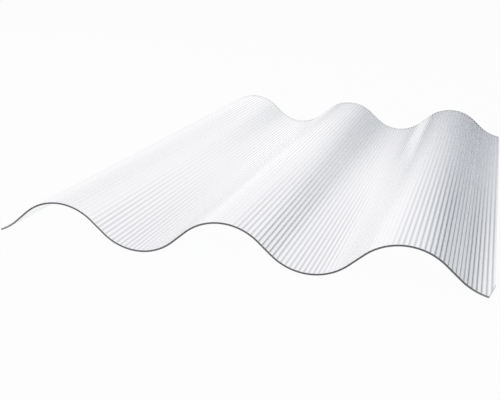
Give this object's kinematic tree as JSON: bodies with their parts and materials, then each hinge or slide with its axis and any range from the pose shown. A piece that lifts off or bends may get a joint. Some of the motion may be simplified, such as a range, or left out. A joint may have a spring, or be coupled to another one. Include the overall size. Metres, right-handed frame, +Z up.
{
  "type": "corrugated polycarbonate sheet",
  "caption": "Clear corrugated sheet of solid polycarbonate with round waves along its length and a finely ribbed skin, for roofs, canopies and wall cladding.",
  "frame": {"origin": "middle of the sheet, on the plane that the undersides of the troughs rest on", "axes": "+X across the waves, +Y along the waves, +Z up, towards the crests"},
  "size_m": [0.217, 0.305, 0.018],
  "materials": {
    "clear_polycarbonate": "clear and glossy, with fine ribs along the waves and grey cut edges"
  },
  "bodies": {
    "root": {"corrugated_sheet": "clear_polycarbonate"}
  },
  "joints": []
}
